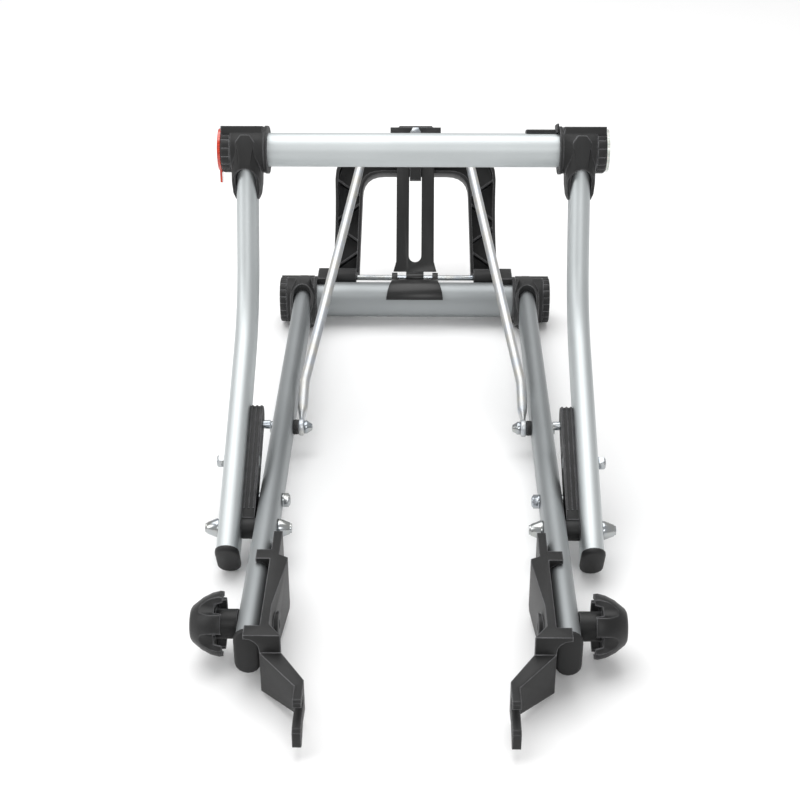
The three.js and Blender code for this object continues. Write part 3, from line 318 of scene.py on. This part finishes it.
def finish_surface(piece, bevel):
    """Welds the facets, rounds the edges sharper than the limit, and shades the rest smooth."""
    weld = piece.modifiers.new("weld", "WELD")
    weld.merge_threshold = WELD_WITHIN
    if bevel:
        flat = piece.modifiers.new("one_face_per_flat", "DECIMATE")
        flat.decimate_type = "DISSOLVE"
        flat.angle_limit = FLAT_WITHIN
        rounded = piece.modifiers.new("rounded_edges", "BEVEL")
        rounded.width = bevel
        rounded.segments = BEVEL_SEGMENTS
        rounded.limit_method = "ANGLE"
        rounded.angle_limit = SMOOTH_BELOW
    shade = piece.modifiers.new("smooth_shading", "NODES")
    shade.node_group = SMOOTHING


def carry_over(name, material, bevel=0.0):
    piece = NODES[name]
    stored = piece.data.attributes.get("custom_normal")
    if stored:
        piece.data.attributes.remove(stored)
    piece.data.materials.clear()
    piece.data.materials.append(material)
    finish_surface(piece, bevel)


def pair(*names):
    return [f"{name}_{side}" for name in names for side, _ in SIDES]


# The outer frame gets the lighter tube copy (painted light) and the inner frame gets the darker one
# (painted shade).
for node in pair("outer_leg") + ["outer_crossbar"]:
    carry_over(node, TUBE_PAINTED_LIT)
for node in pair("inner_leg") + ["inner_crossbar"]:
    carry_over(node, TUBE_PAINTED_SHADE)
for node in pair("inner_corner", "outer_corner", "axle_holder", "stop_arm"):
    carry_over(node, FITTING, MOULDED_EDGE)
for node in pair("inner_leg_cap", "outer_leg_cap", "pivot_spacer", "bail_spacer"):
    carry_over(node, FITTING, CAP_EDGE)
for node in ("strap_clip", "clamp_block"):
    carry_over(node, FITTING, CAP_EDGE)
for node in pair("jaw"):
    carry_over(node, JAW_PLASTIC, MOULDED_EDGE)
for node in pair("knob"):
    carry_over(node, KNOB_PLASTIC, CAP_EDGE)
carry_over("arch", ARCH_PLASTIC, CAP_EDGE)
for node in ("slotted_plate", "plate_saddle"):
    carry_over(node, ENAMEL, PRESSED_EDGE)
for node in pair("pivot_bolt", "pivot_nut_inner", "pivot_nut_outer", "stop_bolt", "stop_nut"):
    carry_over(node, ZINC, HARDWARE_EDGE)
for node in pair("stop_pin", "arm_bolt", "arm_nut", "bail_bolt", "bail_nut"):
    carry_over(node, ZINC, HARDWARE_EDGE)
for node in ("hinge_axle", "clamp_bolt"):
    carry_over(node, ZINC, HARDWARE_EDGE)
carry_over("amber_reflector", AMBER_LENS)
carry_over("clear_reflector", CLEAR_LENS)

# ---------------------------------------------------------------- mesh building

MERGE_WITHIN = 0.002 * MM


def add_mesh(name, points, faces, material, body):
    mesh = bpy.data.meshes.new(name)
    mesh.from_pydata([tuple(p) for p in points], [], faces)
    mesh.validate()
    mesh.materials.append(material)
    made = bmesh.new()
    made.from_mesh(mesh)
    bmesh.ops.remove_doubles(made, verts=made.verts, dist=MERGE_WITHIN)
    bmesh.ops.recalc_face_normals(made, faces=made.faces)
    made.to_mesh(mesh)
    made.free()
    piece = bpy.data.objects.new(name, mesh)
    bpy.context.scene.collection.objects.link(piece)
    shade = piece.modifiers.new("smooth_shading", "NODES")
    shade.node_group = SMOOTHING
    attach(piece, body)
    return piece


class Surface:
    """Points and faces of one piece, made of rings joined into skins."""

    def __init__(self):
        self.points, self.faces = [], []

    def skin(self, rings, closed=False):
        count, first = len(rings[0]), len(self.points)
        for ring in rings:
            self.points.extend(ring)
        steps = len(rings) if closed else len(rings) - 1
        for i in range(steps):
            here, there = first + i * count, first + ((i + 1) % len(rings)) * count
            for j in range(count):
                k = (j + 1) % count
                self.faces.append((here + j, here + k, there + k, there + j))
        if not closed:
            self.faces.append(tuple(range(first + count - 1, first - 1, -1)))
            last = first + (len(rings) - 1) * count
            self.faces.append(tuple(range(last, last + count)))

    def sweep(self, path, normal, section_at, closed=False):
        """Carries a section along a flat path. section_at(i) gives (sideways, normal) pairs."""
        rings = []
        for i, point in enumerate(path):
            before = path[i - 1] if i or closed else point
            after = path[(i + 1) % len(path)] if i + 1 < len(path) or closed else point
            side = (after - before).normalized().cross(normal)
            rings.append([point + side * u + normal * v for u, v in section_at(i)])
        self.skin(rings, closed)

    def turned(self, centre, profile, steps=40):
        """Turns a closed profile of (x, radius) pairs about the X axis through centre."""
        rings = []
        for i in range(steps):
            angle = 2 * math.pi * i / steps
            out = Vector((0, math.cos(angle), math.sin(angle)))
            rings.append([centre + SIDEWAYS * x + out * radius for x, radius in profile])
        self.skin(rings, closed=True)


def ellipse(wide, high, steps=28):
    angles = [2 * math.pi * i / steps for i in range(steps)]
    return [(wide * math.cos(a), high * math.sin(a)) for a in angles]


def filleted(points, radii, steps=14):
    """A path through the points with its inner corners rounded to these radii."""
    path = [points[0]]
    for before, corner, after, radius in zip(points, points[1:], points[2:], radii):
        to_before, to_after = (before - corner).normalized(), (after - corner).normalized()
        half = to_before.angle(to_after) / 2
        reach = radius / math.tan(half)
        centre = corner + (to_before + to_after).normalized() * (radius / math.sin(half))
        start = (corner + to_before * reach - centre).normalized()
        end = (corner + to_after * reach - centre).normalized()
        for i in range(steps + 1):
            path.append(centre + start.slerp(end, i / steps) * radius)
    return path + [points[-1]]


def spaced(path, gap):
    """The same path with no stretch between points longer than gap."""
    made = [path[0]]
    for start, end in zip(path, path[1:]):
        count = max(1, math.ceil((end - start).length / gap))
        made.extend(start.lerp(end, i / count) for i in range(1, count + 1))
    return made


def smoothstep(value):
    value = min(1.0, max(0.0, value))
    return value * value * (3 - 2 * value)


# ---------------------------------------------------------------- the wire bail

ROD = 4.75 * MM
EYE_HALF_THICK = 2.5 * MM
EYE_OUT = 8 * MM
EYE_BORE = 3.4 * MM
BAIL_STRAIGHT = 54 * MM
BAIL_TOP_HALF = 54 * MM
FORGED_FROM, FORGED_TO = 9 * MM, 24 * MM
ROD_STARTS = 5 * MM  # from the middle of the eye
LOWER_BEND, UPPER_BEND = 40 * MM, 20 * MM
ROD_INSIDE_EYE = 1.4 * MM
EYE_EDGE = 0.9 * MM
ROD_STEP = 4 * MM


def add_bail():
    """A bent rod whose ends are forged flat into eyes."""
    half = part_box("wire_bail")[1].x - ROD
    run = [p for p in corners_of("wire_bail") if abs(p.x) < 0.75 * BAIL_TOP_HALF]
    to_run = in_side_view(sum(run, Vector()) / len(run)) - in_side_view(BAIL_PIVOT)
    reach, along = to_run.length, to_run.normalized()
    place = [(half, ROD_STARTS), (half, BAIL_STRAIGHT), (BAIL_TOP_HALF, reach)]
    place += [(-x, y) for x, y in reversed(place)]
    bends = [LOWER_BEND, UPPER_BEND, UPPER_BEND, LOWER_BEND]
    path = filleted([BAIL_PIVOT + SIDEWAYS * x + along * y for x, y in place], bends)
    path = spaced(path, ROD_STEP)

    def section(i):
        far = (path[i] - BAIL_PIVOT).dot(along)
        flat = 1 - smoothstep((far - FORGED_FROM) / (FORGED_TO - FORGED_FROM))
        wide = ROD + (EYE_HALF_THICK - ROD) * flat
        return ellipse(wide, ROD + (EYE_OUT - ROD_INSIDE_EYE - ROD) * flat)

    surface = Surface()
    surface.sweep(path, across(along), section)
    flat, edge = EYE_HALF_THICK, EYE_EDGE
    profile = [
        (-flat, EYE_BORE + edge), (-flat, EYE_OUT - edge), (-flat + edge / 2, EYE_OUT - edge / 4),
        (-flat + edge, EYE_OUT), (flat - edge, EYE_OUT), (flat - edge / 2, EYE_OUT - edge / 4),
        (flat, EYE_OUT - edge), (flat, EYE_BORE + edge), (flat - edge, EYE_BORE), (edge - flat, EYE_BORE),
    ]
    for side in (-1, 1):
        centre = BAIL_PIVOT + SIDEWAYS * side * half
        surface.turned(centre, profile)
    bail = add_mesh("bent_bail_rod", surface.points, surface.faces, CHROME, "bail")
    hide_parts("wire_bail")


add_bail()

# ---------------------------------------------------------------- fluted end plugs

PLUG_FLUTES = 18
FLUTE_DEEP = 1.3 * MM
FLUTE_STEPS = 12
PLUG_HALF_WIDE, PLUG_HALF_HIGH = 20.4 * MM, 24.4 * MM
PLUG_TOP = 11.7 * MM  # the ridge of the fitting closes the plug above this
# (millimetres back from the outer face, millimetres in from the edge, share of the flutes' depth)
PLUG_FACE = (
    (1.6, 0, 1), (0.7, 0.4, 0.9), (0.1, 1.2, 0.6), (0, 2.2, 0.3), (0, 4.4, 0), (0.9, 5.2, 0), (0.9, 9, 0),
)


def flat_oval(half_wide, half_high, share):
    """Point and outward direction at this share of the way round an upright flat oval."""
    straight = 2 * (half_high - half_wide)
    around = 2 * straight + 2 * math.pi * half_wide
    far = (share % 1) * around
    if far < straight:
        return (half_wide, far - straight / 2), (1, 0)
    far -= straight
    if far < math.pi * half_wide:
        angle = far / half_wide
        out = (math.cos(angle), math.sin(angle))
        return (half_wide * out[0], straight / 2 + half_wide * out[1]), out
    far -= math.pi * half_wide
    if far < straight:
        return (-half_wide, straight / 2 - far), (-1, 0)
    angle = math.pi + (far - straight) / half_wide
    out = (math.cos(angle), math.sin(angle))
    return (half_wide * out[0], -straight / 2 + half_wide * out[1]), out


def add_plug(node, centre, along, side, body):
    low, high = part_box(node)
    root, face = (low.x, high.x) if side > 0 else (high.x, low.x)
    thick = abs(face - root)
    up = across(along)
    steps = [(0, 0, 1)] + [(thick - back * MM, inset * MM, fluted) for back, inset, fluted in PLUG_FACE]
    rings = []
    for depth, inset, fluted in steps:
        ring = []
        for i in range(PLUG_FLUTES * FLUTE_STEPS):
            share = i / (PLUG_FLUTES * FLUTE_STEPS)
            (u, v), (out_u, out_v) = flat_oval(PLUG_HALF_WIDE, PLUG_HALF_HIGH, share)
            crest = math.sqrt(abs(math.sin(math.pi * PLUG_FLUTES * share)))
            back = inset + FLUTE_DEEP * fluted * (1 - crest)
            u, v = min(u - out_u * back, PLUG_TOP), v - out_v * back
            ring.append(centre + SIDEWAYS * (root + side * depth) + along * u + up * v)
        rings.append(ring)
    surface = Surface()
    surface.skin(rings)
    plug = add_mesh("fluted_" + node, surface.points, surface.faces, FITTING, body)
    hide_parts(node)


UPPER_BAR = in_side_view(middle("outer_crossbar"))
UPPER_ALONG = (UPPER_BAR - sum(top_ring, Vector()) / len(top_ring)).normalized()
LOWER_BAR = in_side_view(middle("inner_crossbar"))
for side_name, side in SIDES:
    add_plug(f"outer_end_plug_{side_name}", UPPER_BAR, UPPER_ALONG, side, "outer_frame")
    add_plug(f"inner_end_plug_{side_name}", LOWER_BAR, -LEG_OUT, side, "inner_frame")

# ---------------------------------------------------------------- ribs round the stop arms

RIB = 0.75 * MM
RIB_START = 15 * MM
RIB_INSET = 1.6 * MM  # from the arm's side faces
RIB_ARC_STEPS = 24
RIB_STEP = 6 * MM


def add_arm_ribs(side_name):
    """Three raised lines that run round the arm, as its mould's split leaves them."""
    node = f"stop_arm_{side_name}"
    up = across(LOWER_ALONG)
    spread = [((p - PIVOT).dot(LOWER_ALONG), (p - PIVOT).dot(up)) for p in corners_of(node)]
    end = max(a for a, _ in spread)
    low, high = min(b for _, b in spread), max(b for _, b in spread)
    radius, mid = (high - low) / 2, (high + low) / 2
    flat = [(RIB_START, low)]
    for i in range(RIB_ARC_STEPS + 1):
        angle = -math.pi / 2 + math.pi * i / RIB_ARC_STEPS
        flat.append((end - radius + radius * math.cos(angle), mid + radius * math.sin(angle)))
    flat.append((RIB_START, high))
    inner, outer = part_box(node)[0].x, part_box(node)[1].x
    surface = Surface()
    for x in (inner + RIB_INSET, (inner + outer) / 2, outer - RIB_INSET):
        path = [in_side_view(PIVOT) + SIDEWAYS * x + LOWER_ALONG * a + up * b for a, b in flat]
        surface.sweep(spaced(path, RIB_STEP), SIDEWAYS, lambda i: ellipse(RIB, RIB * 1.2, 10))
    name = f"stop_arm_ribs_{side_name}"
    add_mesh(name, surface.points, surface.faces, FITTING, "outer_frame")


# ---------------------------------------------------------------- locking collars, lens rims and knob rings

# outlines in millimetres: (out from the face, radius)
COLLAR = ((-0.2, 3.15), (-0.2, 5.0), (0.5, 4.9), (1.0, 4.5), (1.25, 3.9), (1.2, 3.3), (0.9, 3.15))
KNOB_RING = ((0.0, 8.6), (0.9, 8.9), (1.15, 9.5), (1.15, 10.2), (0.9, 10.8), (0.0, 11.2))
KNOB_RING_SUNK = 1.2 * MM
KNOB_RING_STEPS = 48
RIM = 0.7 * MM
RIM_INSET = 3 * MM
RIM_STEPS = 96


def add_collar(node, side, body):
    """The rounded nylon-insert collar on a lock nut, on the face that looks along side."""
    low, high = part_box(node)
    start = high.x if side > 0 else low.x
    surface = Surface()
    centre = in_side_view(middle(node)) + SIDEWAYS * start
    surface.turned(centre, [(side * x * MM, radius * MM) for x, radius in COLLAR])
    add_mesh(f"collar_of_{node}", surface.points, surface.faces, ZINC, body)


def add_lens_rim(node, material, side):
    """The raised rim round a reflector's outer face."""
    low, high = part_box(node)
    x = (high.x if side > 0 else low.x) - side * RIM
    up = across(UPPER_ALONG)
    path = []
    for i in range(RIM_STEPS):
        (u, v), _ = flat_oval(PLUG_HALF_WIDE - RIM_INSET, PLUG_HALF_HIGH - RIM_INSET, i / RIM_STEPS)
        path.append(UPPER_BAR + SIDEWAYS * x + UPPER_ALONG * min(u, PLUG_TOP) + up * v)
    surface = Surface()
    surface.sweep(path, SIDEWAYS, lambda i: ellipse(RIM * 1.3, RIM, 12), closed=True)
    add_mesh(f"{node}_rim", surface.points, surface.faces, material, "outer_frame")


def add_knob_ring(side_name, side):
    """A raised ring on the knob's outer face."""
    node = f"knob_{side_name}"
    low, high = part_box(node)
    start = (high.x if side > 0 else low.x) - side * KNOB_RING_SUNK
    centre = in_side_view(Vector(joints[f"knob_turn_{side_name}"]["pos_m"])) + SIDEWAYS * start
    surface = Surface()
    profile = [(side * x * MM, radius * MM) for x, radius in KNOB_RING]
    surface.turned(centre, profile, KNOB_RING_STEPS)
    name = f"knob_ring_{side_name}"
    add_mesh(name, surface.points, surface.faces, KNOB_PLASTIC, node)


for side_name, side in SIDES:
    add_arm_ribs(side_name)
    add_collar(f"stop_nut_{side_name}", -side, "inner_frame")
    add_collar(f"arm_nut_{side_name}", side, "outer_frame")
    add_knob_ring(side_name, side)
add_lens_rim("amber_reflector", AMBER_LENS, -1)
add_lens_rim("clear_reflector", CLEAR_LENS, 1)

# ---------------------------------------------------------------- floor, light and camera

FLOOR_SIDE = 60.0
FLOOR_BELOW = 0.2 * MM
WORLD_STRENGTH = 0.56


def floor_material():
    s = Shader("pale_floor")
    s.link("Base Color", s.ramp(s.noise(1.5), (0.3, grey(0.93)), (0.7, grey(0.96))))
    s.link("Roughness", s.range(s.noise(30.0), 0.6, 0.8))
    return s.material


def add_floor():
    mesh = bpy.data.meshes.new("floor")
    half = FLOOR_SIDE / 2
    corners = [(-half, -half, 0), (half, -half, 0), (half, half, 0), (-half, half, 0)]
    mesh.from_pydata(corners, [], [(0, 1, 2, 3)])
    mesh.materials.append(floor_material())
    floor = bpy.data.objects.new("floor", mesh)
    floor.location.z = -FLOOR_BELOW
    bpy.context.scene.collection.objects.link(floor)


def add_area_light(name, place, target, width, depth, power):
    data = bpy.data.lights.new(name, "AREA")
    data.shape = "RECTANGLE"
    data.size = width
    data.size_y = depth
    data.energy = power
    light = bpy.data.objects.new(name, data)
    light.location = place
    light.rotation_euler = (Vector(target) - Vector(place)).to_track_quat("-Z", "Y").to_euler()
    bpy.context.scene.collection.objects.link(light)


def add_world(strength):
    world = bpy.data.worlds.new("studio")
    world.use_nodes = True
    world.node_tree.nodes["Background"].inputs["Color"].default_value = (1, 1, 1, 1)
    world.node_tree.nodes["Background"].inputs["Strength"].default_value = strength
    bpy.context.scene.world = world


add_floor()
add_world(WORLD_STRENGTH)
CENTRE = (CAD_LOW + CAD_HIGH) / 2
add_area_light("ceiling_softbox", (-0.3, 0.5, 2.2), (0, 0, 0), 2.6, 2.2, 44)
add_area_light("left_softbox", (-1.7, -0.5, 1.0), CENTRE, 0.8, 1.2, 9)
add_area_light("front_softbox", (0.4, -2.4, 1.7), CENTRE, 1.4, 0.8, 14)
bpy.context.scene.view_settings.view_transform = "Standard"

CAMERA_AT = (0.0116, -1.1974, 0.7619)
CAMERA_PITCH, CAMERA_ROLL, CAMERA_YAW = (math.radians(v) for v in (-30.305, 0.238, 1.087))
FOCAL = 1517.6  # in widths of a pixel of the 800-wide frame
IMAGE_WIDE = 800
SENSOR = 36.0
camera_data = bpy.data.cameras.new("photograph_view")
camera_data.sensor_width = SENSOR
camera_data.lens = FOCAL / IMAGE_WIDE * SENSOR
camera_data.clip_start = 0.05
camera = bpy.data.objects.new("photograph_view", camera_data)
turn = Matrix.Rotation(CAMERA_YAW, 4, "Z") @ Matrix.Rotation(CAMERA_PITCH, 4, "X")
turn = turn @ Matrix.Rotation(CAMERA_ROLL, 4, "Y") @ Matrix.Rotation(math.radians(90), 4, "X")
camera.matrix_world = Matrix.Translation(CAMERA_AT) @ turn
bpy.context.scene.collection.objects.link(camera)
bpy.context.scene.camera = camera
